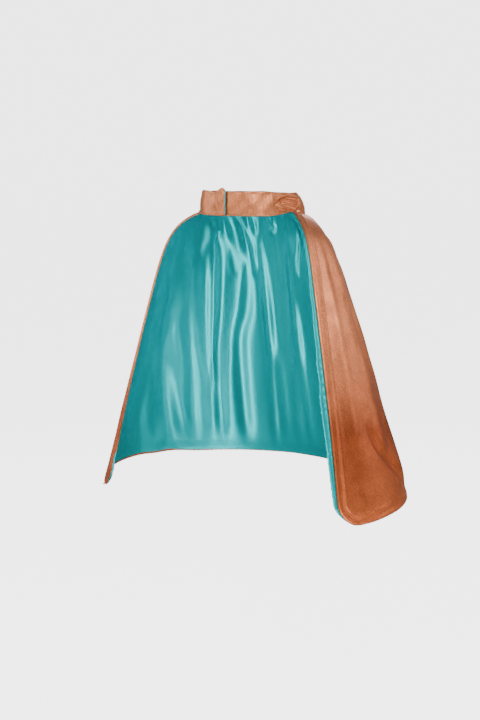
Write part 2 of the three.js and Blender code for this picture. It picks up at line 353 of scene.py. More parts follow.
# ---------------------------------------------------------------- from the settled cloth to fine sheets
SHEET_COLUMNS = 360
STRAIGHT_ROWS = 170
CORNER_ROWS = 22
EDGE_STEPS = np.array([0, 0.5, 1.0, 1.6, 2.3, 3.2, 4.4, 6, 8, 10, 11.5, 12.5, 13.5, 15, 17.5]) * MM
REFINE = 3
SHELL_FOLDS, LINING_FOLDS = 0.8, 0.8         # how much of the settled folds each cloth keeps
LINING_LOOSE, LINING_SOFTNESS = 1.2 * MM, 0.6 * MM
CALM_EDGE, CALM_SEAM = (2 * MM, 22 * MM), 8 * MM     # the lining hangs loose only away from its sewn edges
CREASES_END = 30 * MM                        # the shell's creases fade out over this much above the hem
MIRRORED_KEEP, MIRRORED_SHIFT = 0.8, 11      # the wearer's-left drapes: lower, and moved by this many mm
SLIDE_BLUR, SHELL_BLUR, LINING_BLUR = 4, 2.2, 1.5    # in cells of the settled grid
SHELL_TAKES = 0.25                           # share of the lining's drapes the shell follows at the top
# Folds the cloth was packed and hung with: half width, height, then the line the fold follows, all
# in mm. A lining fold is (from the back centre towards the wearer's right, below the seam); a shell
# crease is (from the front edge, below the seam).
LINING_DRAPES = (
    (5.0, 2.2, (-99, 8), (-100, 50), (-110, 130), (-120, 230), (-124, 300)),
    (8.0, 4.4, (-83, 4), (-86, 62), (-96, 150), (-106, 223), (-116, 385)),
    (9.0, 4.2, (-62, 4), (-60, 40), (-53, 90), (-54, 120), (-61, 160), (-75, 220), (-78, 385)),
    (4.5, 2.6, (-46, 4), (-44, 41), (-38, 84), (-46, 110), (-60, 121)),
    (4.2, 1.8, (-80, 60), (-79, 92), (-73, 101), (-67, 92)),
    (5.4, 2.8, (-25, 45), (-26, 103), (-28, 180), (-31, 266), (-35, 385)),
    (9.0, 3.6, (25, 30), (22, 101), (14, 200), (7, 261), (3, 385)),
    (15.0, 5.0, (-145, 20), (-158, 140), (-168, 240), (-176, 385)),
    (14.0, 4.5, (-190, 90), (-214, 200), (-242, 375)),
    (11.0, 3.2, (-128, 60), (-136, 160), (-140, 270), (-146, 385)),
    (2.4, 1.5, (-67, 4), (-62, 24), (-56, 35), (-51, 24), (-49, 4)),
    (2.0, 1.0, (-62, 4), (-58, 17), (-55, 21), (-53, 4)),
    (2.4, 1.5, (-13, 4), (-9, 24), (-4, 36), (1, 24), (4, 4)),
    (2.0, 1.0, (-8, 4), (-5, 18), (-3, 21), (0, 4)),
    (3.0, 1.6, (-31, 4), (-30, 22), (-33, 46)),
    (3.0, 1.4, (-118, 4), (-121, 26), (-128, 60)),
)
SHELL_CREASES = (
    (7.0, 1.2, (24, 30), (30, 120), (34, 220), (38, 330)),
    (13.0, 3.0, (44, 14), (60, 100), (76, 210), (92, 340)),
    (21.0, 5.6, (90, 16), (108, 130), (117, 230), (123, 300), (129, 350), (137, 400)),
    (4.0, 1.6, (112, 262), (132, 292), (150, 330)),
    (14.0, 2.6, (165, 14), (185, 130), (205, 300)),
)
SHELL_VALLEYS = (
    (5.0, 4.2, (54, 270), (76, 308), (102, 332), (120, 352), (144, 392)),
    (3.5, 0.9, (18, 225), (20, 275), (21, 323), (21, 362)),
    (6.0, 1.2, (58, 90), (66, 160), (70, 230)),
)
SEAM_LIFT, SEAM_LIFT_WIDTH = 4.4 * MM, 18    # the neck seam rises at the wearer's left front
SEAM_LIFT_FADE = 18 * MM
FOLD_END_FADE, FOLD_START_FADE = 60 * MM, 40 * MM
FROM_SEAM = 15                               # a fold that starts this close to the seam, in mm, runs into it


def seam_lift(degrees):
    """Rise of the neck seam at an angle from the front centre."""
    return SEAM_LIFT * np.exp(-((degrees - SEAM_START) / SEAM_LIFT_WIDTH) ** 2)


def fold_heights(folds, across, down, keep=1.0, shift=0):
    """Heights of a table of folds at places on the cloth; shift, in mm, moves the folds sideways."""
    heights = np.zeros(across.shape)
    place = np.stack([across, down], -1)
    for half_width, height, *line in folds:
        points = curved_between(np.array(line, float)[:, None], 6)[:, 0] * MM + np.array([shift * MM, 0])
        along = arc_lengths(points)
        nearest, where = np.full(across.shape, np.inf), np.zeros(across.shape)
        for start, end, passed in zip(points, points[1:], along):
            step = end - start
            share = np.clip(((place - start) @ step) / (step @ step), 0, 1)
            away = np.linalg.norm(place - start - share[..., None] * step, axis=-1)
            where = np.where(away < nearest, passed + share * np.linalg.norm(step), where)
            nearest = np.minimum(away, nearest)
        fade = smooth(along[-1] - where, 0, min(0.4 * along[-1], FOLD_END_FADE))
        if line[0][1] >= FROM_SEAM:
            fade *= smooth(where, 0, min(0.4 * along[-1], FOLD_START_FADE))
        bump = np.exp(-(nearest / (half_width * MM)) ** 2)
        heights = np.maximum(heights, keep * height * MM * fade * bump)
    return blurred(heights, 1)


def sheet_places(cloth):
    """Rows and columns that follow the cape's outline: the rows' lengths, half widths to the uncut side
    line and to the outline, and each point's place across."""
    lengths, total = cloth["lengths"], cloth["lengths"][-1]
    straight = np.linspace(lengths[0], total - CORNER_RADIUS, STRAIGHT_ROWS)
    turn = np.linspace(0, np.pi / 2, CORNER_ROWS + 1)[1:]
    along = np.concatenate([straight, total - CORNER_RADIUS * (1 - np.sin(turn))])
    half = np.interp(along, lengths, cloth["half_lengths"])
    below = np.maximum(along - (total - CORNER_RADIUS), 0)
    outline = half - CORNER_RADIUS + np.sqrt(np.maximum(CORNER_RADIUS**2 - below**2, 0))
    inner = np.linspace(-1, 1, SHEET_COLUMNS + 1)[None] * (outline - EDGE_STEPS[-1])[:, None]
    right = -(outline[:, None] - EDGE_STEPS[None, :-1])
    return along, half, outline, np.concatenate([right, inner, -right[:, ::-1]], 1)


def edge_distances(along, half, outline, across):
    """Each point's distance from the rounded side, from the uncut side line, from the hem, and from
    the nearest of them."""
    from_side, from_edge = outline[:, None] - np.abs(across), half[:, None] - np.abs(across)
    from_hem = np.repeat((along[-1] - along)[:, None], across.shape[1], 1)
    corner = (from_edge < CORNER_RADIUS) & (from_hem < CORNER_RADIUS)
    round_distance = CORNER_RADIUS - np.hypot(CORNER_RADIUS - from_edge, CORNER_RADIUS - from_hem)
    distance = np.maximum(np.where(corner, round_distance, np.minimum(from_side, from_hem)), 0)
    return from_side, from_edge, from_hem, distance


def settled_moves(cloth):
    """How the cloth settled: its folds as the shell and the lining keep them, and its slide."""
    outward = grid_normals(cloth["plain"])
    moved = cloth["hung"] - cloth["plain"]
    folds = (moved * outward).sum(-1)
    sideways = moved - outward * folds[..., None]
    slide = np.stack([blurred(sideways[..., axis], SLIDE_BLUR) for axis in range(3)], -1)
    return np.stack([blurred(folds, SHELL_BLUR), blurred(folds, LINING_BLUR)], -1), slide


def all_folds(settled, across, down, from_edge, from_hem):
    """Heights of the shell's folds, and how far inside them the looser lining hangs."""
    total = down[-1, 0]
    pressed = fold_heights(SHELL_CREASES, from_edge, down) - fold_heights(SHELL_VALLEYS, from_edge, down)
    pressed *= smooth(from_hem, 0, CREASES_END)
    drapes = fold_heights(LINING_DRAPES, across, down)
    drapes = drapes + fold_heights(LINING_DRAPES, -across, down, MIRRORED_KEEP, MIRRORED_SHIFT)
    shared = (SHELL_TAKES + (1 - SHELL_TAKES) * smooth(down, 0.3 * total, 0.95 * total)) * drapes
    shell_folds = SHELL_FOLDS * settled[..., 0] + pressed - shared
    loose = LINING_FOLDS * settled[..., 1] - LINING_LOOSE - shell_folds - drapes
    return shell_folds, 0.5 * (loose - np.sqrt(loose**2 + LINING_SOFTNESS**2))    # never outside the shell


def fine_sheet(cloth):
    """Points of the fine middle surface and of the lining's own folds, on rows and columns that
    follow the cape's outline, with each point's flat place and its distance from the outline."""
    along, half, outline, across = sheet_places(cloth)
    from_side, from_edge, from_hem, distance = edge_distances(along, half, outline, across)
    down = np.repeat(along[:, None], across.shape[1], 1)
    lengths = cloth["lengths"]
    row = (down - lengths[0]) / (lengths[1] - lengths[0])
    column = (across / half[:, None] + 1) / 2 * CLOTH_COLUMNS

    def resampled(grid):
        finer = curved_between(curved_between(grid, REFINE).swapaxes(0, 1), REFINE).swapaxes(0, 1)
        return sampled(finer, row * REFINE, column * REFINE)

    folds, sideways = settled_moves(cloth)
    settled, plain, slide = resampled(folds), resampled(cloth["plain"]), resampled(sideways)
    flat_across = resampled(cloth["across"][..., None])[..., 0]
    shell_folds, sag = all_folds(settled, across, down, from_edge, from_hem)
    calm = smooth(distance, *CALM_EDGE) * smooth(along, 0, CALM_SEAM)[:, None]

    middle = plain + slide + grid_normals(plain) * shell_folds[..., None]
    psi = np.degrees(np.arctan2(plain[..., 0], plain[..., 1]))
    lift = seam_lift(180 - psi) * np.exp(-np.maximum(along, 0) / SEAM_LIFT_FADE)[:, None]
    near_corner = np.exp(-((from_edge - CORNER_RADIUS) / CORNER_SAG_WIDTH) ** 2)
    middle[..., 2] += lift - CORNER_SAG * (1 - smooth(from_hem, 0, CORNER_SAG_HEIGHT)) * near_corner
    return {"middle": middle, "sag": sag * calm, "distance": distance, "from_side": from_side,
            "from_edge": from_edge, "uv": np.stack([flat_across, down], -1), "along": along, "psi": psi}


def shell_rise(distance, from_edge):
    """How far the shell stands off the middle surface: a seam allowance inside, a soft edge. The hem
    is pressed flatter than the front edges."""
    allowance = ALLOWANCE_RISE * (1 - smooth(distance, ALLOWANCE_WIDTH - 2 * MM, ALLOWANCE_WIDTH + 1 * MM))
    shape = allowance + sum(height * np.exp(-((distance - place) / width) ** 2)
                            for height, place, width in EDGE_RELIEF)
    relief = 1 - HEM_FLATNESS * smooth(from_edge, *HEM_FLAT)
    return SHELL_OUT + relief * shape


def edge_ripple(rng, along):
    """Small unevenness that sewing leaves along an edge."""
    return 0.22 * MM * waves(rng, along, 6 * MM, 16 * MM, 12)


def rim_of(rows, columns, first, last, full):
    """Grid numbers of the outline from the top of one side, along the hem, to the top of the other."""
    right = [(i, first) for i in range(rows - 1)] if first == 0 else []
    hem = [(rows - 1, j) for j in range(first, last + 1)]
    left = [(i, last) for i in range(rows - 2, -1, -1)] if last == full else []
    return [i * columns + (j - first) for i, j in right + hem + left]


def wrapped_sheet(name, points, normals, uv, rim, profile, material, seams):
    """A sheet whose outline goes on round a profile. profile gives, for each point of the rim, the
    places (out, up) of the wrap. seams are columns where a neighbour goes on: they keep its normals."""
    rows, columns = points.shape[:2]
    flat_points, flat_normals = points.reshape(-1, 3), normals.reshape(-1, 3)
    path, up = flat_points[rim], flat_normals[rim]
    direction = unit(np.gradient(path, axis=0))
    out = unit(np.cross(direction, up))
    centre = points[rows // 2, columns // 2]
    if ((path - centre) * out).sum() < 0:
        out = -out
    steps = profile.shape[1]
    wrap = (path[:, None] + out[:, None] * profile[..., :1] + up[:, None] * profile[..., 1:])
    wrap_uv = np.repeat(uv.reshape(-1, 2)[rim][:, None], steps, 1) + profile
    every = np.concatenate([flat_points, wrap.reshape(-1, 3)])
    every_uv = np.concatenate([uv.reshape(-1, 2), wrap_uv.reshape(-1, 2)])
    number = np.concatenate([np.array(rim)[:, None], rows * columns
                             + np.arange(len(rim) * steps).reshape(len(rim), steps)], 1)
    strip = np.stack([number[:-1, :-1], number[1:, :-1], number[1:, 1:], number[:-1, 1:]], -1).reshape(-1, 4)
    piece = make_mesh(name, every, np.concatenate([quads(rows, columns), strip]), material, every_uv)
    face_along(piece, flat_normals, np.arange(rows * columns).reshape(rows, columns)[:, seams].ravel())
    return piece


def shell_profile(turned_in):
    """The shell's edge is turned under. Where turned_in is 1 it also rolls round onto the inside."""
    under = np.array([[0.35, -0.22], [0.5, -0.5], [0.45, -0.75], [0.1, -0.9], [-0.6, -0.95], [-1.6, -0.95],
                      [-2.8, -0.95]]) * MM
    rolled = np.array([[0.8, -0.1], [1.25, -0.7], [1.0, -1.5], [0.2, -1.9], [-1.6, -1.95], [-3.4, -1.8],
                       [-4.4, -1.1]]) * MM
    share = turned_in[:, None, None]
    return under * (1 - share) + rolled * share


def lining_profile(reach):
    """The lining rolls out past the shell by reach and back in under the shell's edge."""
    out = np.array([0.3, 0.6, 0.85, 0.97, 1.0, 0.95, 0.8, 0.58, 0.36, 0.18, 0.08, 0.0])
    up = np.array([-0.7, -0.8, -0.45, 0.15, 0.8, 1.35, 1.75, 1.9, 1.75, 1.3, 0.75, 0.45]) * MM
    height = smooth(reach, 0, 3 * MM)[:, None]
    places = np.stack([reach[:, None] * out, up * (0.35 + 0.65 * height)], -1)
    under = np.repeat(np.array([[[-1.2 * MM, 0.35 * MM]]]), len(reach), 0)
    return np.concatenate([places, under], 1) * np.array([1, -1])    # up is inwards on the lining


def edge_turns(rng, sheet, at_row, at_column):
    """At each point of an outline, how far the lining rolls out, and by how much the shell rolls in
    instead, as it does along the wearer's-right front."""
    side = smooth(sheet["from_side"][at_row, at_column], 0, 2 * MM)
    along = sheet["along"][at_row]
    lower = sheet["along"][-1] - CORNER_RADIUS
    reach = np.interp(along / lower, ROLL_PLACES, ROLL_REACHES)
    reach = reach + ROLL_UNEVEN * waves(rng, along, 25 * MM, 70 * MM, 6) * (1 - side)
    reach = reach * smooth(along, -2 * MM, 3 * MM)
    on_right = at_column < (sheet["psi"].shape[1] - 1) / 2
    above_hem = smooth(-along, -lower - 10 * MM, -lower + 25 * MM)
    turned_in = np.where(on_right, 1 - side, 0) * above_hem
    round_corner = smooth(along, lower, lower + 0.9 * CORNER_RADIUS)
    reach = reach + (ROLL_HEM - reach) * np.maximum(side, round_corner)
    return reach + (ROLL_HEM - reach) * turned_in, turned_in


def cape_pieces(sheet, materials):
    """Shell and lining, each as a back piece and two front pieces."""
    rng = np.random.default_rng(SEED + 1)
    middle, distance = sheet["middle"], sheet["distance"]
    rows, full = middle.shape[0], middle.shape[1] - 1
    normals = grid_normals(middle)
    ripple = edge_ripple(rng, sheet["along"])[:, None] * np.exp(-distance / (3 * MM))
    shell = middle + normals * (shell_rise(distance, sheet["from_edge"]) + ripple)[..., None]
    turned = LINING_IN * (1 - 0.5 * smooth(2 * MM - distance, 0, 2 * MM))
    lining = middle + normals * (sheet["sag"] - turned + ripple)[..., None]
    lining_normals, shell_normals = grid_normals(lining), grid_normals(shell)

    cut_row = int(rows * CUT_ROW)
    cut = int(np.argmin(np.abs(sheet["psi"][cut_row] - math.degrees(CUT_ANGLE))))
    spans = {"back": (full - cut, cut), "right_front": (0, full - cut), "left_front": (cut, full)}
    made = {}
    for place, (first, last) in spans.items():
        columns = last - first + 1
        rim = rim_of(rows, columns, first, last, full)
        at_row, at_column = np.array(rim) // columns, np.array(rim) % columns + first
        reach, turned_in = edge_turns(rng, sheet, at_row, at_column)
        seams = [column - first for column in (full - cut, cut) if first <= column <= last]
        part = slice(first, last + 1)
        made["cape_shell_" + place] = wrapped_sheet(
            "cape_shell_" + place, shell[:, part], shell_normals[:, part], sheet["uv"][:, part], rim,
            shell_profile(turned_in), materials["copper"], seams)
        made["cape_lining_" + place] = wrapped_sheet(
            "cape_lining_" + place, lining[:, part], -lining_normals[:, part], sheet["uv"][:, part], rim,
            lining_profile(reach), materials["satin"], seams)
    return made


# ---------------------------------------------------------------- neckband
# Angles run along the whole strip: from the left end at LEFT_END, round the back, to the tab.
FULL_TURN = 360
STRIP_END = FULL_TURN + TAB_END
LEFT_CUT, RIGHT_CUT, TAB_CUT = 60, 298, 324  # where one stretch of the band meets the next
END_STEPS = np.array([0, 0.35, 0.8, 1.4])    # degrees from a free end, which is rounded this far
COLUMN_ANGLE = 0.7
BAND_MIDDLE = 1.3 * MM                       # depth of the middle of the band's thickness
CURL_ANGLE, CURL_WIDTH = 128, 31             # the band's upper part rolls in behind the left ear
CURL_FROM = 4 * MM
CURL_RATE = math.radians(80) / (BAND_HEIGHT - CURL_FROM)
FRONT_DROP, BACK_DROP = 2.2 * MM, 3.6 * MM   # how far the top edge sags beside the oval and behind
FRONT_DROPS, BACK_DROPS = (30, 75), (105, 150)
DROPS_FADE, DROPS_END = 270, 315
TOP_UNEVEN = 0.35 * MM
TAB_PEAK, PEAK_FROM, PEAK_AT = 4.2 * MM, 13, 2.5     # the tab's free top corner; degrees before its end
TOP_DIP, DIP_AT, DIP_WIDTH = 1.0 * MM, 16, 6         # the top edge dips just before that corner
SOFT_CREASES, CREASE_HEIGHT = 14, 0.13 * MM
PUCKER_WAVES = (2.6 * MM, 5.5 * MM, 10)      # shortest and longest, and how many
PUCKERS, TAB_PUCKERS, OVAL_PUCKERS = 0.12 * MM, 0.35 * MM, 0.12 * MM
FACING_REACH = 0.9 * MM                      # how far the facing shows past the tab's end

# (depth outwards, height up the band): from the turned-in lower edge, up the face, over the top.
OUTER_PROFILE = np.array([
    [1.0, 1.6], [1.05, 0.5], [1.5, -0.05], [2.1, 0.0], [2.65, 0.35], [2.95, 0.95], [2.8, 1.7], [2.25, 2.7],
    [2.1, 3.6], [2.3, 5.2], [2.6, 8], [2.72, 11], [2.74, 14], [2.74, 17], [2.7, 20], [2.6, 23], [2.45, 25.2],
    [2.4, 26.4], [2.5, 27.6], [2.5, 28.8], [2.3, 29.6], [1.8, 30.05], [1.2, 30.05], [0.6, 29.7],
    [0.2, 29.0], [0.05, 28.0], [0.05, 26.6], [0.3, 26.0]]) * MM
FACING_PROFILE = np.array([
    [0.3, 28.2], [0.02, 27.4], [-0.12, 26], [-0.1, 22], [-0.05, 17], [-0.05, 12], [-0.1, 7], [-0.12, 3],
    [0.0, 1.2], [0.2, 0.35], [0.8, 0.2]]) * MM
STIFFENER_PROFILE = np.array([[1.3, 9.5], [1.3, 14], [1.3, 20], [1.3, 25], [1.3, 28.2]]) * MM
ALLOWANCE_PROFILE = np.array([[0.65, 0.4], [0.6, 3], [0.65, 6], [0.7, 8.6], [0.9, 9.0]]) * MM


def band_frame(degrees):
    """The point on the neck ellipse, the level direction outwards and the lean, at each angle."""
    angle = np.radians(degrees)
    foot = np.stack([NECK_HALF_WIDTH * np.sin(angle), -NECK_HALF_DEPTH * np.cos(angle), 0 * angle], -1)
    outward = np.stack([np.sin(angle) / NECK_HALF_WIDTH, -np.cos(angle) / NECK_HALF_DEPTH, 0 * angle], -1)
    lean = SIDE_LEAN * np.sin(angle) ** 2 + BACK_LEAN * ((1 - np.cos(angle)) / 2) ** 5
    return foot, unit(outward), lean


def band_point(degrees, height, depth):
    """A point of the band: height up the band from the seam, depth outwards from its inner face."""
    foot, outward, lean = band_frame(degrees)
    rate = CURL_RATE * np.maximum(np.exp(-(((degrees - CURL_ANGLE) / CURL_WIDTH) ** 2)), 1e-4)
    straight, curl = np.minimum(height, CURL_FROM), rate * np.maximum(height - CURL_FROM, 0)
    out = straight * np.sin(lean) + (np.cos(lean - curl) - np.cos(lean)) / rate
    up = straight * np.cos(lean) + (np.sin(lean) - np.sin(lean - curl)) / rate
    point = foot + outward * (out + depth * np.cos(curl))[..., None]
    point[..., 2] = up + depth * np.sin(curl)
    return point


def overlap_rise(degrees):
    return TAB_OFFSET * smooth(degrees, FULL_TURN + OVERLAP_START, FULL_TURN + TAB_HINGE)


def band_top(degrees):
    """How far the top edge stands above the plain band: small waves, a dip, the tab's corner."""
    rng = np.random.default_rng(SEED + 2)
    uneven = TOP_UNEVEN * waves(rng, degrees, 25, 90, 8)
    peak = TAB_PEAK * smooth(degrees, STRIP_END - PEAK_FROM, STRIP_END - PEAK_AT) ** 1.6
    peak *= 1 - 0.4 * smooth(degrees, STRIP_END - PEAK_AT, STRIP_END)
    dip = TOP_DIP * np.exp(-((degrees - STRIP_END + DIP_AT) / DIP_WIDTH) ** 2)
    slump = FRONT_DROP * smooth(degrees, *FRONT_DROPS) + BACK_DROP * smooth(degrees, *BACK_DROPS)
    return uneven + peak - dip - slump * smooth(-degrees, -DROPS_END, -DROPS_FADE)


def band_creases(degrees, height):
    """Soft unevenness of the band's face, with puckers beside the tab's seams."""
    rng = np.random.default_rng(SEED + 3)
    around = np.radians(degrees) * NECK_HALF_WIDTH
    soft = np.zeros(np.broadcast(degrees, height).shape)
    for _ in range(SOFT_CREASES):
        turn, length = rng.normal(0, 0.5), rng.uniform(14, 42) * MM
        soft += np.sin(2 * np.pi * (around * np.cos(turn) + height * np.sin(turn) * 1.6) / length
                       + rng.uniform(0, 6.28))
    puckers = waves(rng, around + 0.15 * height, *PUCKER_WAVES)
    near_tab = smooth(degrees, STRIP_END - 24, STRIP_END - 8)
    near_oval = np.exp(-((degrees - OVAL_ANGLE) / 26) ** 2)
    return CREASE_HEIGHT * soft + puckers * (PUCKERS + TAB_PUCKERS * near_tab + OVAL_PUCKERS * near_oval)


def strip_angles():
    """Angles of the columns, closer together at the free ends and with one at each cut."""
    stops = [LEFT_END + END_STEPS[-1], LEFT_CUT, RIGHT_CUT, TAB_CUT, STRIP_END - END_STEPS[-1]]
    inner = [np.linspace(a, b, int(round((b - a) / COLUMN_ANGLE)) + 1)[:-1]
             for a, b in zip(stops, stops[1:])]
    return np.concatenate([LEFT_END + END_STEPS[:-1], *inner, STRIP_END - END_STEPS[::-1]])


def band_grid(angles, profile, crease=1.0):
    """The profile swept along the strip. The ends close round the middle of the band's thickness."""
    degrees = np.repeat(angles[:, None], len(profile), 1)
    from_end = np.minimum(angles - angles[0], angles[-1] - angles)
    width = np.sqrt(np.clip(1 - (1 - np.clip(from_end / END_STEPS[-1], 0, 1)) ** 2, 0.003, 1))[:, None]
    depth = BAND_MIDDLE + (profile[None, :, 0] - BAND_MIDDLE) * width
    height = BAND_HEIGHT / 2 + (profile[None, :, 1] - BAND_HEIGHT / 2) * (0.97 + 0.03 * width)
    share = height / BAND_HEIGHT
    height = height + seam_lift(degrees) * (1 - share) + band_top(degrees) * share**3
    faced = smooth(share, -0.02, 0.12) * smooth(1 - share, -0.02, 0.1)
    depth = depth + crease * band_creases(degrees, height) * faced + overlap_rise(degrees)
    return band_point(degrees, height, depth)


def strip_normals(grid):
    normals = unit(np.cross(np.gradient(grid, axis=0), np.gradient(grid, axis=1)))
    foot = unit(grid * np.array([1, 1, 0]))
    facing_out = (normals * foot)[:, grid.shape[1] // 2].sum() > 0
    return normals if facing_out else -normals


def strip_pieces(kind, profile, material, crease=1.0, inside=False):
    """The four stretches of one layer of the band, cut where the next stretch goes on."""
    angles = strip_angles()
    grid = band_grid(angles, profile, crease)
    normals = strip_normals(grid) * (-1 if inside else 1)
    along = np.radians(angles) * NECK_HALF_WIDTH
    round_profile = arc_lengths(profile)
    uv = np.stack(np.meshgrid(along, round_profile, indexing="ij"), -1)
    inner_cuts = [int(np.argmin(np.abs(angles - cut))) for cut in (LEFT_CUT, RIGHT_CUT, TAB_CUT)]
    cuts = [0, *inner_cuts, len(angles) - 1]
    made = {}
    for place, first, last in zip(("left", "back", "right", "tab"), cuts, cuts[1:]):
        part = grid[first:last + 1]
        piece = grid_mesh(f"band_{place}_{kind}", part, uv[first:last + 1], material)
        rows, columns = part.shape[:2]
        face_along(piece, normals[first:last + 1].reshape(-1, 3),
                   np.arange(rows * columns).reshape(rows, columns)[[0, -1]].ravel())
        made[place] = piece
    return made


def facing_end(material):
    """The facing's edge, which shows as a thin line past the tab's end."""
    heights = np.linspace(0.6 * MM, BAND_HEIGHT - 0.4 * MM, 60)
    share = heights / BAND_HEIGHT
    degrees = np.full(heights.shape, float(STRIP_END))
    degrees_per_metre = math.degrees(1 / NECK_HALF_WIDTH)
    lifted = heights + band_top(degrees) * share**3
    rng = np.random.default_rng(SEED + 4)
    reach = FACING_REACH * (1 + 0.3 * waves(rng, heights, 4 * MM, 12 * MM, 8))
    reach *= smooth(share, -0.02, 0.05) * smooth(1 - share, -0.02, 0.05)
    turn = np.linspace(-np.pi / 2, np.pi / 2, 9)
    rows = []
    for angle in turn:
        place = degrees - 0.6 + degrees_per_metre * reach * (0.4 + np.cos(angle))
        depth = TAB_OFFSET + 0.75 * MM + 0.65 * MM * np.sin(angle)
        rows.append(band_point(place, lifted, np.full(heights.shape, depth)))
    grid = np.array(rows)
    uv = np.stack(np.meshgrid(turn * MM, heights, indexing="ij"), -1)
    return grid_mesh("facing_edge", grid, uv, material)


def band_layers(materials):
    return {
        "cloth": strip_pieces("cloth", OUTER_PROFILE, materials["rose"]),
        "facing": strip_pieces("facing", FACING_PROFILE, materials["satin"], crease=0.3, inside=True),
        "stiffener": strip_pieces("stiffener", STIFFENER_PROFILE, materials["stiffener"], crease=0.3),
    }


def seam_allowance(material):
    """The gathered raw edges of shell and lining, inside the band."""
    degrees = np.linspace(SEAM_START + 1, FULL_TURN - SEAM_START - 1, 700)
    rng = np.random.default_rng(SEED + 5)
    gathers = 0.12 * MM * waves(rng, degrees, 1.2, 4, 24)
    profile = ALLOWANCE_PROFILE
    angle = np.repeat(degrees[:, None], len(profile), 1)
    depth = profile[None, :, 0] + gathers[:, None]
    height = profile[None, :, 1] + 0 * depth
    height = height + seam_lift(angle) * (1 - height / BAND_HEIGHT)
    grid = band_point(angle, height, depth)
    around = np.radians(degrees) * NECK_HALF_WIDTH
    uv = np.stack(np.meshgrid(around, profile[:, 1], indexing="ij"), -1)
    return grid_mesh("neck_seam_edges", grid, uv, material)


# ---------------------------------------------------------------- oval patch, tapes and stitching
OVAL_HEIGHT, OVAL_TILT = 14.2 * MM, 1 * MM   # of its middle, and of its end above that
OVAL_RINGS, OVAL_SPOKES = 40, 160
TAPE_FROM, TAPE_TO = LEFT_END + 2, TAB_END - 2
TAPE_LOW, TAPE_HIGH = 4 * MM, 26 * MM
TAPE_COLUMNS, TAPE_ROWS = 40, 30
TUFT_ROW, TUFT_ANGLE = 1.15 * MM, 0.95       # rows of hooks or loops, and degrees between two in a row
ARCH_HALF_SPAN, ARCH_STEPS = 0.32 * MM, 5    # of one hook or loop
LOOP_TAPE_IN, HOOK_TAPE_IN, TAPE_THICKNESS = 2.9 * MM, 3.9 * MM, 0.7 * MM
STITCH, STITCH_GAP, THREAD_RADIUS = 2.0 * MM, 0.7 * MM, 0.16 * MM
STITCH_SIDES = 6
FACING_SEAM_HEIGHT, FACING_SEAM_DEPTH = 2.4 * MM, -0.14 * MM
# One stitch: share of its length, width and rise of the thread there, in thread radii.
STITCH_RINGS = ((0, 0.3, -0.8), (0.12, 0.9, 0.1), (0.35, 1, 0.6), (0.65, 1, 0.6), (0.88, 0.9, 0.1),
                (1, 0.3, -0.8))


def on_oval(x, y, rise):
    """Points on the band from places on the oval, at most 1 from its middle, rise above the band."""
    degrees = OVAL_ANGLE + np.degrees(x * OVAL_HALF_LENGTH / NECK_HALF_WIDTH)
    height = OVAL_HEIGHT + y * OVAL_HALF_HEIGHT + x * OVAL_TILT
    return band_point(degrees, height, BAND_OUT + rise)


def oval_dome(name, rise_of, rim, material):
    """A closed dome on the oval: rise_of(radius, x, y) is its height above the band."""
    radius = np.linspace(0, 1, OVAL_RINGS + 1)[1:]
    angle = np.linspace(0, 2 * np.pi, OVAL_SPOKES, endpoint=False)
    r, a = np.meshgrid(radius, angle, indexing="ij")
    x, y = rim * r * np.cos(a), rim * r * np.sin(a)
    top = on_oval(x, y, rise_of(r, x, y))
    base = on_oval(x, y, np.full(x.shape, 0.05 * MM))[::4][::-1]
    middle = [on_oval(np.zeros(1), np.zeros(1), rise_of(np.zeros(1), np.zeros(1), np.zeros(1)))[0],
              on_oval(np.zeros(1), np.zeros(1), np.full(1, 0.05 * MM))[0]]
    rings = np.concatenate([top, base])
    faces = quads(len(rings), OVAL_SPOKES, start=2, closed=True).tolist()
    last = 2 + (len(rings) - 1) * OVAL_SPOKES
    for k in range(OVAL_SPOKES):
        after = (k + 1) % OVAL_SPOKES
        faces.append([0, 2 + k, 2 + after])
        faces.append([1, last + after, last + k])
    points = np.concatenate([middle, rings.reshape(-1, 3)])
    flat = np.concatenate([[[0, 0], [0, 0]], np.stack([
        np.concatenate([x, x[::4][::-1]]).ravel() * OVAL_HALF_LENGTH,
        np.concatenate([y, y[::4][::-1]]).ravel() * OVAL_HALF_HEIGHT], -1)])
    piece = make_mesh(name, points, faces, material, flat)
    outward = band_frame(np.array([float(OVAL_ANGLE)]))[1][0]
    if (mesh_normals(piece.data)[2:2 + OVAL_SPOKES] @ outward).sum() < 0:
        piece.data.flip_normals()
    return piece


def oval_patch(materials):
    """A padded oval with a rolled rim and S-shaped folds gathered inside it."""
    def cover(r, x, y):
        rim = 2.7 * MM * np.exp(-np.abs((r - 0.86) / 0.09) ** 3)
        swing = y + 0.22 * np.sin(2.6 * x + 0.5) + 0.1 * x
        folds = sum(np.exp(-((swing - at) / 0.12) ** 2) for at in (-0.5, 0.0, 0.5))
        inner = (0.4 * MM + 1.7 * MM * folds * (1 - smooth(r, 0.5, 0.8))) * (1 - smooth(r, 0.7, 0.95))
        puckers = 0.12 * MM * np.sin(30 * np.arctan2(y, x)) * np.exp(-((r - 0.93) / 0.06) ** 2)
        return 0.25 * MM + inner + rim + puckers - 0.2 * MM * smooth(r, 0.95, 1)

    def wad(r, x, y):
        return 0.08 * MM + 0.22 * MM * np.sqrt(np.maximum(1 - r**2, 0))

    return (oval_dome("oval_cover", cover, 1.0, materials["rose"]),
            oval_dome("oval_wadding", wad, 0.8, materials["stiffener"]))


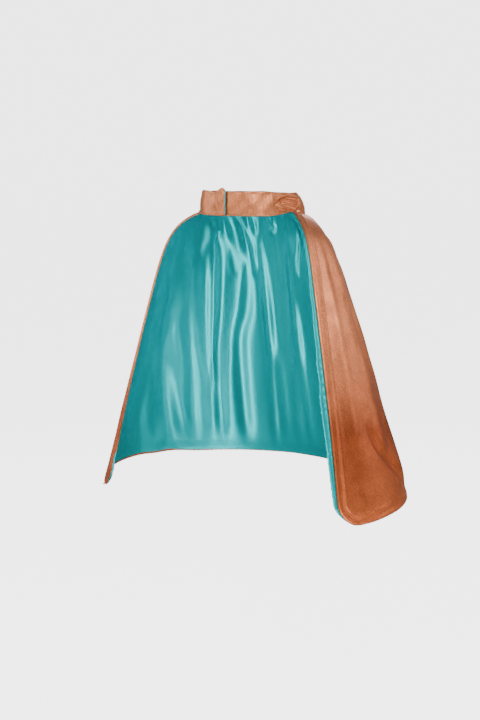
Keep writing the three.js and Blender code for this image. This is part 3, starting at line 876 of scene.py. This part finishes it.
def tape_patch(name, inner, top_out, material, tufts):
    """A tape with rounded corners: a closed slab on the band, with rows of hooks or loops."""
    degrees = np.linspace(TAPE_FROM, TAPE_TO, TAPE_COLUMNS)
    heights = np.linspace(TAPE_LOW, TAPE_HIGH, TAPE_ROWS)
    angle, height = np.meshgrid(degrees, heights, indexing="ij")
    across = (angle - (TAPE_FROM + TAPE_TO) / 2) / ((TAPE_TO - TAPE_FROM) / 2)
    up = (height - (TAPE_LOW + TAPE_HIGH) / 2) / ((TAPE_HIGH - TAPE_LOW) / 2)
    edge = np.clip(np.abs(across) ** 12 + np.abs(up) ** 12, 0, 1)
    creases = 0.3 * band_creases(angle, height)
    faces_of = [inner + 0.2 * MM * edge + creases, inner + TAPE_THICKNESS * (1 - 0.3 * edge) + creases]
    points = [band_point(angle, height, depth).reshape(-1, 3) for depth in faces_of]
    number = np.arange(angle.size).reshape(angle.shape)
    count, grid = angle.size, quads(*angle.shape)
    under, over = grid.tolist(), (grid + count)[:, ::-1].tolist()
    loop = np.concatenate([number[:, 0], number[-1, 1:], number[-2::-1, -1], number[0, -2:0:-1]])
    walls = [[a, b, b + count, a + count] for a, b in zip(loop, np.roll(loop, -1))]
    every, faces = list(np.concatenate(points)), under + over + walls
    rng = np.random.default_rng(SEED + 6)
    sign = 1 if top_out else -1
    base = inner + (TAPE_THICKNESS - 0.02 * MM if top_out else 0.02 * MM)
    for row in np.arange(TAPE_LOW + 1.2 * MM, TAPE_HIGH - 1 * MM, TUFT_ROW):
        for place in np.arange(TAPE_FROM + 0.9, TAPE_TO - 0.7, TUFT_ANGLE):
            tufts(every, faces, place + rng.normal(0, 0.1), row + rng.normal(0, 0.12 * MM), base, sign, rng)
    uv = np.array([[p[0], p[2]] for p in every])
    return make_mesh(name, every, faces, material, uv)


def thin_arch(every, faces, centre, side, reach, rise, sign, radius):
    """A bent thread as a three-sided tube: centre and side say where on the band, rise how high."""
    degrees, height, base = centre
    start = len(every)
    for k in range(ARCH_STEPS):
        turn = reach * k / (ARCH_STEPS - 1)
        place = degrees + math.degrees((ARCH_HALF_SPAN * math.cos(turn) * side[0]) / NECK_HALF_WIDTH)
        level = height + ARCH_HALF_SPAN * math.cos(turn) * side[1]
        depth = base + sign * rise * math.sin(turn)
        for corner in range(3):
            spin = corner * 2.1
            every.append(band_point(np.array(place + math.degrees(radius * math.cos(spin) / NECK_HALF_WIDTH)),
                                    np.array(level + radius * math.sin(spin)), np.array(depth)))
    for k in range(ARCH_STEPS - 1):
        for corner in range(3):
            a, b = start + 3 * k + corner, start + 3 * k + (corner + 1) % 3
            faces.append([a, b, b + 3, a + 3])
    last = start + 3 * (ARCH_STEPS - 1)
    faces += [[start, start + 2, start + 1], [last, last + 1, last + 2]]


def hooks(every, faces, degrees, height, base, sign, rng):
    thin_arch(every, faces, (degrees, height, base), (0.2, 1.0), 2.3, 0.26 * MM, sign, 0.07 * MM)


def loops(every, faces, degrees, height, base, sign, rng):
    turn = rng.uniform(0, np.pi)
    thin_arch(every, faces, (degrees, height, base), (math.cos(turn), math.sin(turn)), math.pi,
              rng.uniform(0.12, 0.24) * MM, sign, 0.05 * MM)


def stitches(name, line, up, material, stitch=STITCH, gap=STITCH_GAP, radius=THREAD_RADIUS):
    """Threads along a line of points, each a small capsule that dips into the cloth at its ends."""
    along = arc_lengths(line)
    count = int(along[-1] // (stitch + gap))
    every, faces = [], []
    for k in range(count):
        begin = k * (stitch + gap)
        start = len(every)
        for share, width, rise in STITCH_RINGS:
            at = begin + share * stitch
            point = np.array([np.interp(at, along, line[:, axis]) for axis in range(3)])
            top = unit(np.array([np.interp(at, along, up[:, axis]) for axis in range(3)]))
            later = np.array([np.interp(at + 0.1 * MM, along, line[:, axis]) for axis in range(3)])
            cross = unit(np.cross(unit(later - point), top))
            for side in range(STITCH_SIDES):
                turn = 2 * np.pi * side / STITCH_SIDES
                every.append(point + radius * (top * (rise + width * math.sin(turn))
                                               + cross * width * math.cos(turn)))
        faces += quads(len(STITCH_RINGS), STITCH_SIDES, start, closed=True).tolist()
        faces.append([start + side for side in range(STITCH_SIDES)])
        last = start + (len(STITCH_RINGS) - 1) * STITCH_SIDES
        faces.append([last + side for side in reversed(range(STITCH_SIDES))])
    return make_mesh(name, every, faces, material, np.array([[p[0], p[2]] for p in every]))


def band_line(degrees, heights, depth):
    """Points and outward directions along a line sewn on the band."""
    line = band_point(degrees, heights, depth)
    return line, band_frame(degrees)[1]


def rectangle_line(low_angle, high_angle, low, high):
    """Angles and heights round a rectangle on the band."""
    corners = [(low_angle, low), (high_angle, low), (high_angle, high), (low_angle, high), (low_angle, low)]
    return np.concatenate([np.linspace(a, b, 60) for a, b in zip(corners, corners[1:])]).T


def tab_stitching(material):
    degrees, heights = rectangle_line(FULL_TURN + TAPE_FROM + 1, FULL_TURN + TAPE_TO + 0.2,
                                      TAPE_LOW + 1 * MM, TAPE_HIGH - 1 * MM)
    depth = TAB_OFFSET + 2.68 * MM + band_creases(degrees, heights)
    return stitches("tab_stitching", *band_line(degrees, heights, depth), material)


def loop_tape_stitching(material):
    degrees, heights = rectangle_line(TAPE_FROM + 0.8, TAPE_TO - 0.8, TAPE_LOW + 0.8 * MM,
                                      TAPE_HIGH - 0.8 * MM)
    depth = LOOP_TAPE_IN + TAPE_THICKNESS + 0.3 * band_creases(degrees, heights)
    return stitches("loop_tape_stitching", *band_line(degrees, heights, depth), material)


def oval_stitching(material):
    turn = np.linspace(0, 2 * np.pi, 400)
    x, y = 0.975 * np.cos(turn), 0.975 * np.sin(turn)
    line = on_oval(x, y, np.full(x.shape, 0.16 * MM))
    up = band_frame(OVAL_ANGLE + np.degrees(x * OVAL_HALF_LENGTH / NECK_HALF_WIDTH))[1]
    return stitches("oval_stitching", line, up, material, stitch=1.5 * MM, gap=0.6 * MM)


def facing_stitching(material):
    """The facing is sewn down just above the neck seam, inside the back of the band."""
    degrees = np.linspace(LEFT_CUT + 3, RIGHT_CUT - 3, 900)
    heights = FACING_SEAM_HEIGHT + seam_lift(degrees) * 0.9
    depth = FACING_SEAM_DEPTH + 0.3 * band_creases(degrees, heights) * 0.9
    line, up = band_line(degrees, heights, depth)
    return stitches("facing_stitching", line, -up, material)


# ---------------------------------------------------------------- materials
PAINTED_SHADE_PLACES = (0.0, 0.35, 0.72, 1.0)         # shares of the cape's length, from the seam to the hem, where the painted light and shade changes
# The copper's own colour with painted light and shade down the cape: the second colour is a painted sheen,
# the third and fourth are painted shade.
COPPER_AND_PAINTED_SHADE = ((0.72, 0.24, 0.11), (0.97, 0.31, 0.13), (0.41, 0.083, 0.022), (0.6, 0.135, 0.038))
ROSE = (0.66, 0.215, 0.085)
TEAL_DEEP, TEAL_LIGHT = (0.0, 0.47, 0.50), (0.0, 0.57, 0.60)


def new_material(name, **sockets):
    """A Principled material with these values set on its own sockets."""
    material = bpy.data.materials.new(name)
    material.use_nodes = True
    shader = material.node_tree.nodes["Principled BSDF"]
    for socket, value in sockets.items():
        label = socket.replace("_", " ")
        shader.inputs[label].default_value = (*value, 1) if isinstance(value, tuple) else value
    return material, material.node_tree, shader


def texture(tree, kind, vector, **settings):
    node = tree.nodes.new(kind)
    for name, value in settings.items():
        if name in node.inputs:
            node.inputs[name].default_value = value
        else:
            setattr(node, name, value)
    tree.links.new(vector, node.inputs["Vector"])
    return node


def noise(tree, vector, scale, detail, **settings):
    return texture(tree, "ShaderNodeTexNoise", vector, Scale=scale, Detail=detail, **settings).outputs["Fac"]


def bands(tree, vector, scale, distortion, direction, **settings):
    return texture(tree, "ShaderNodeTexWave", vector, Scale=scale, Distortion=distortion,
                   bands_direction=direction, **settings).outputs["Fac"]


def object_place(tree):
    return tree.nodes.new("ShaderNodeTexCoord").outputs["Object"]


def scaled_uv(tree, across, along):
    """The cloth's own coordinates in metres, with a different scale each way."""
    place = tree.nodes.new("ShaderNodeUVMap")
    place.uv_map = "cloth"
    mapping = tree.nodes.new("ShaderNodeMapping")
    mapping.inputs["Scale"].default_value = (across, along, 1)
    tree.links.new(place.outputs["UV"], mapping.inputs["Vector"])
    return mapping.outputs["Vector"]


def ramp(tree, value, *stops):
    node = tree.nodes.new("ShaderNodeValToRGB")
    elements = node.color_ramp.elements
    while len(elements) < len(stops):
        elements.new(0.5)
    for element, (place, colour) in zip(elements, stops):
        element.position = place
        element.color = (*colour, 1) if isinstance(colour, tuple) else (colour, colour, colour, 1)
    tree.links.new(value, node.inputs["Fac"])
    return node.outputs["Color"]


def multiplied(tree, share, first, second):
    """The first colour times the second, by this share."""
    node = tree.nodes.new("ShaderNodeMix")
    node.data_type, node.blend_type = "RGBA", "MULTIPLY"
    node.inputs[0].default_value = share
    tree.links.new(first, node.inputs[6])
    tree.links.new(second, node.inputs[7])
    return node.outputs[2]


def bumps(tree, shader, *layers):
    """Bump nodes one after another: (height, strength, distance in metres)."""
    normal = None
    for height, strength, distance in layers:
        node = tree.nodes.new("ShaderNodeBump")
        node.inputs["Strength"].default_value = strength
        node.inputs["Distance"].default_value = distance
        tree.links.new(height, node.inputs["Height"])
        if normal is not None:
            tree.links.new(normal, node.inputs["Normal"])
        normal = node.outputs["Normal"]
    tree.links.new(normal, shader.inputs["Normal"])


def metallic_knit(name, *colours):
    """Metallic foil on a fine knit: ribs of stitches, glitter, and soft wear where it is handled.
    colours run from the neck seam down to the hem, at PAINTED_SHADE_PLACES: painted light a third of the way
    down and painted shade lower, by height alone."""
    material, tree, shader = new_material(
        name, Metallic=0.75, Roughness=0.45, Sheen_Weight=0.05, Sheen_Roughness=0.4,
        Sheen_Tint=(1.0, 0.6, 0.4))
    cloth, place = scaled_uv(tree, 1, 1), object_place(tree)
    # Painted light and shade: the base colour follows the height in the cape, lighter a third of the way down
    # and darker lower.
    height = tree.nodes.new("ShaderNodeSeparateXYZ")
    tree.links.new(place, height.inputs["Vector"])
    fall = tree.nodes.new("ShaderNodeMapRange")
    fall.inputs["From Min"].default_value = 0.0
    fall.inputs["From Max"].default_value = -LENGTH
    tree.links.new(height.outputs["Z"], fall.inputs["Value"])
    colour = ramp(tree, fall.outputs["Result"], *zip(PAINTED_SHADE_PLACES, colours))
    glitter = texture(tree, "ShaderNodeTexVoronoi", cloth, Scale=1500).outputs["Distance"]
    patches, grain = noise(tree, place, 26, 3), noise(tree, scaled_uv(tree, 620, 420), 1, 2)
    streaks = noise(tree, scaled_uv(tree, 700, 90), 1, 3)
    for share, pattern, dark, light in (
            (1.0, patches, (0.35, 0.86), (0.65, 1.1)), (1.0, grain, (0.32, 0.8), (0.68, 1.16)),
            (1.0, streaks, (0.3, 0.82), (0.7, 1.14)), (0.6, glitter, (0.15, 1.25), (0.6, 0.9))):
        colour = multiplied(tree, share, colour, ramp(tree, pattern, dark, light))
    tree.links.new(colour, shader.inputs["Base Color"])
    worn = noise(tree, place, 60, 4)
    tree.links.new(ramp(tree, worn, (0.3, 0.38), (0.7, 0.56)), shader.inputs["Roughness"])
    ribs, courses = bands(tree, cloth, 170, 1.2, "X", Detail=1), bands(tree, cloth, 150, 0.8, "Y", Detail=1)
    crumple = noise(tree, scaled_uv(tree, 160, 60), 1, 4)
    bumps(tree, shader, (ribs, 0.25, 0.12 * MM), (courses, 0.15, 0.1 * MM), (glitter, 0.2, 0.1 * MM),
          (crumple, 0.3, 0.5 * MM))
    return material


def teal_satin():
    """Satin: long floats along the cloth draw its gloss out into long soft highlights."""
    material, tree, shader = new_material(
        "teal_satin", Metallic=0.85, Roughness=0.46, Anisotropic=0.5, Anisotropic_Rotation=0.25,
        Specular_IOR_Level=0.5, Specular_Tint=(0.4, 0.95, 1.0))
    tangent = tree.nodes.new("ShaderNodeTangent")
    tangent.direction_type, tangent.uv_map = "UV_MAP", "cloth"
    tree.links.new(tangent.outputs["Tangent"], shader.inputs["Tangent"])
    base = ramp(tree, noise(tree, scaled_uv(tree, 9, 5), 1, 2), (0.3, TEAL_DEEP), (0.7, TEAL_LIGHT))
    threads = noise(tree, scaled_uv(tree, 1100, 500), 1, 1)
    shade = ramp(tree, threads, (0.3, 0.93), (0.7, 1.05))
    tree.links.new(multiplied(tree, 1.0, base, shade), shader.inputs["Base Color"])
    slack = noise(tree, scaled_uv(tree, 90, 22), 1, 2)
    bumps(tree, shader, (threads, 0.05, 0.02 * MM), (slack, 0.1, 0.5 * MM))
    return material


def matt_cloth(name, colour, dark, scale):
    """Non-woven or brushed cloth: a felt of fibres."""
    material, tree, shader = new_material(name, Roughness=0.92, Sheen_Weight=0.4, Sheen_Roughness=0.6)
    fibres = noise(tree, object_place(tree), scale, 6, Roughness=0.7)
    tree.links.new(ramp(tree, fibres, (0.35, dark), (0.65, colour)), shader.inputs["Base Color"])
    bumps(tree, shader, (fibres, 0.5, 0.15 * MM))
    return material


def thread(name, colour, dark):
    """Twisted polyester thread."""
    material, tree, shader = new_material(name, Roughness=0.45, Sheen_Weight=0.5, Sheen_Roughness=0.4)
    twist = bands(tree, object_place(tree), 700, 2, "DIAGONAL")
    tree.links.new(ramp(tree, twist, (0.2, dark), (0.8, colour)), shader.inputs["Base Color"])
    bumps(tree, shader, (twist, 0.4, 0.08 * MM))
    return material


def all_materials():
    return {
        # The copper carries painted light and shade by height; the rose band is one even colour.
        "copper": metallic_knit("copper_lame", *COPPER_AND_PAINTED_SHADE),
        "rose": metallic_knit("rose_lame", *[ROSE] * len(COPPER_AND_PAINTED_SHADE)),
        "satin": teal_satin(),
        "stiffener": matt_cloth("stiffener", (0.8, 0.8, 0.77), (0.62, 0.62, 0.6), 900),
        "tape": matt_cloth("hook_and_loop", (0.36, 0.27, 0.22), (0.2, 0.14, 0.11), 1200),
        "copper_thread": thread("copper_thread", (0.62, 0.36, 0.24), (0.4, 0.2, 0.12)),
        "teal_thread": thread("teal_thread", (0.02, 0.4, 0.42), (0.01, 0.25, 0.27)),
    }


# ---------------------------------------------------------------- pieces on their bodies
CLOTH_SLOTS = (("shell", "copper_lame"), ("lining", "teal_satin"))


def stand_in_for(node):
    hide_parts(node)


def hang_cape(materials):
    """The back pieces ride on the back; the front pieces are baked where they hang and ride on no body."""
    pieces = cape_pieces(fine_sheet(hang_cloth()), materials)
    for place, body, mirror in (("left_front", "front_left", 1), ("right_front", "front_right", -1)):
        for cloth, slot in CLOTH_SLOTS:
            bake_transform(pieces[f"cape_{cloth}_{place}"])
            stand_in_for(f"{cloth}_{place}")
    for cloth, slot in CLOTH_SLOTS:
        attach(pieces[f"cape_{cloth}_back"], "back")
        stand_in_for(f"{cloth}_back")
    declare_cape(pieces)


def declare_cape(pieces):
    """Reads each piece's flat cloth coordinates and the first corner of each face; nothing further is done
    with them.
    """
    for name, piece in pieces.items():
        uv = np.zeros(len(piece.data.loops) * 2, np.float32)
        piece.data.uv_layers["cloth"].data.foreach_get("uv", uv)
        uv = uv.reshape(-1, 2)
        corners = np.zeros(len(piece.data.polygons), int)
        piece.data.polygons.foreach_get("loop_start", corners)


BAND_BODIES = {"back": ("back",), "left": ("back", "band_left"), "right": ("back", "band_right"),
               "tab": ("band_right", "band_tab")}
# For each stretch between two bodies: two angles either side of its hinge, in degrees, and how far it stands
# out there.
BAND_BENDS = {"left": (LEFT_HINGE + 5, LEFT_HINGE - 5, 0), "right": (RIGHT_HINGE - 4, RIGHT_HINGE + 4, 0),
              "tab": (TAB_HINGE - 3.5, TAB_HINGE + 3.5, TAB_OFFSET)}
BAND_NODES = {"cloth": ("outer", "rose_lame"), "facing": ("facing", "teal_satin"),
              "stiffener": ("interfacing", "stiffener")}


def on_band_body(piece, place):
    """A stretch of the band with one body rides on it; a stretch between two bodies is baked in place and
    rides on neither.
    """
    bodies = BAND_BODIES[place]
    if len(bodies) == 1:
        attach(piece, bodies[0])
        return
    before, after, rise = BAND_BENDS[place]
    depth = np.array(BAND_MIDDLE + rise)
    start, end = (tuple(band_point(np.array(float(a)), np.array(0.0), depth)) for a in (before, after))
    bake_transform(piece)


def make_band(materials):
    layers = band_layers(materials)
    edge, allowance = facing_end(materials["satin"]), seam_allowance(materials["satin"])
    for piece, body in ((edge, "band_tab"), (allowance, "back")):
        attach(piece, body)
    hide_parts("neck_seam_allowance")
    for kind, stretches in layers.items():
        node, slot = BAND_NODES[kind]
        for place, piece in stretches.items():
            on_band_body(piece, place)
            stand_in_for(f"neckband_{place}_{node}")


def add_details(materials):
    cover, wadding = oval_patch(materials)
    for piece, node, slot, fill in ((cover, "oval_patch_cover", "rose_lame", 0.5),
                                    (wadding, "oval_patch_wadding", "stiffener", 0.6)):
        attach(piece, "back")
        stand_in_for(node)

    loop_tape = tape_patch("loop_tape_patch", LOOP_TAPE_IN, True, materials["tape"], loops)
    hook_tape = tape_patch("hook_tape_patch", HOOK_TAPE_IN, False, materials["tape"], hooks)
    for piece, node, body in ((loop_tape, "loop_tape", "band_left"), (hook_tape, "hook_tape", "band_tab")):
        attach(piece, body)
        stand_in_for(node)

    for piece, body in ((tab_stitching(materials["copper_thread"]), "band_tab"),
                        (loop_tape_stitching(materials["copper_thread"]), "band_left"),
                        (oval_stitching(materials["copper_thread"]), "back"),
                        (facing_stitching(materials["teal_thread"]), "back")):
        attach(piece, body)


# ---------------------------------------------------------------- camera, floor and lights
CAMERA_AZIMUTH, CAMERA_ELEVATION = math.radians(26), math.radians(11.6)
CAMERA_DISTANCE, CAMERA_LENS = 1.35, 52
AIM_RIGHT, AIM_UP = -15 * MM, -189 * MM
FLOOR_HEIGHT = -0.9                          # a child's neck above the floor
FLOOR_GLOW = 3.5
DOME_RADIUS = 12
WORLD_GLOW = 0.2
# Soft lights: azimuth and elevation in degrees, distance, width and height in metres, power in watts.
LIGHTS = (
    ("key", 30, 24, 1.9, (0.5, 0.7), 20),
    ("side", -27, 8, 2.0, (0.45, 1.0), 15),          # the band's wearer's-right end and the lining's roll
    ("far_side", -78, 10, 2.0, (0.9, 1.2), 14),
    ("bounce", 34, -37, 1.1, (0.3, 0.5), 8),         # the lining faces down, so its gloss comes from below
    ("side_bounce", 88, -36, 1.1, (0.3, 0.3), 2.2),
    ("rim", 112, 22, 2.0, (0.6, 1.2), 13),
    ("rear", 200, 30, 2.2, (1.2, 1.2), 22),
)


def towards(azimuth, elevation):
    """The direction from the cape to something at this azimuth and elevation."""
    level = math.cos(elevation)
    return Vector((math.sin(azimuth) * level, -math.cos(azimuth) * level, math.sin(elevation)))


def add_camera():
    back = towards(CAMERA_AZIMUTH, CAMERA_ELEVATION)
    right = Vector((math.cos(CAMERA_AZIMUTH), math.sin(CAMERA_AZIMUTH), 0))
    up = back.cross(right)
    camera = bpy.data.objects.new("camera", bpy.data.cameras.new("camera"))
    camera.data.lens = CAMERA_LENS
    bpy.context.scene.collection.objects.link(camera)
    aim = right * AIM_RIGHT + Vector((0, 0, AIM_UP))
    turn = Matrix((right, up, back)).transposed().to_4x4()
    camera.matrix_world = Matrix.Translation(aim + back * CAMERA_DISTANCE) @ turn
    bpy.context.scene.camera = camera


def add_floor():
    """A pale floor that curves up into a pale dome all round. It is only there for the camera."""
    material = bpy.data.materials.new("pale_floor")
    material.use_nodes = True
    shader = material.node_tree.nodes["Principled BSDF"]
    shader.inputs["Base Color"].default_value = (0.9, 0.9, 0.9, 1)
    shader.inputs["Roughness"].default_value = 1.0
    shader.inputs["Emission Color"].default_value = (1, 1, 1, 1)
    shader.inputs["Emission Strength"].default_value = FLOOR_GLOW
    turn, rise = np.meshgrid(np.linspace(0, 2 * np.pi, 97), np.linspace(-0.5 * np.pi, 0.5 * np.pi, 60))
    level = np.maximum(FLOOR_HEIGHT, DOME_RADIUS * np.sin(rise))
    out = DOME_RADIUS * np.cos(rise)
    dome = np.stack([out * np.cos(turn), out * np.sin(turn), level], -1)
    floor = make_mesh("floor", dome.reshape(-1, 3), quads(*dome.shape[:2]), material)
    floor.visible_diffuse = floor.visible_glossy = floor.visible_shadow = False


def add_light(name, azimuth, elevation, distance, size, power):
    away = towards(math.radians(azimuth), math.radians(elevation))
    light = bpy.data.objects.new(name, bpy.data.lights.new(name, "AREA"))
    light.data.shape, light.data.size, light.data.size_y = "RECTANGLE", size[0], size[1]
    light.data.energy = power
    light.location = away * distance + Vector((0, 0, AIM_UP))
    light.rotation_euler = (-away).to_track_quat("-Z", "Y").to_euler()
    light.visible_camera = False
    bpy.context.scene.collection.objects.link(light)


def add_lights():
    world = bpy.data.worlds.new("studio")
    world.use_nodes = True
    background = world.node_tree.nodes["Background"]
    background.inputs["Color"].default_value = (1, 1, 1, 1)
    background.inputs["Strength"].default_value = WORLD_GLOW
    bpy.context.scene.world = world
    for light in LIGHTS:
        add_light(*light)


add_camera()
add_floor()
add_lights()
MATERIALS = all_materials()
make_band(MATERIALS)
add_details(MATERIALS)
hang_cape(MATERIALS)
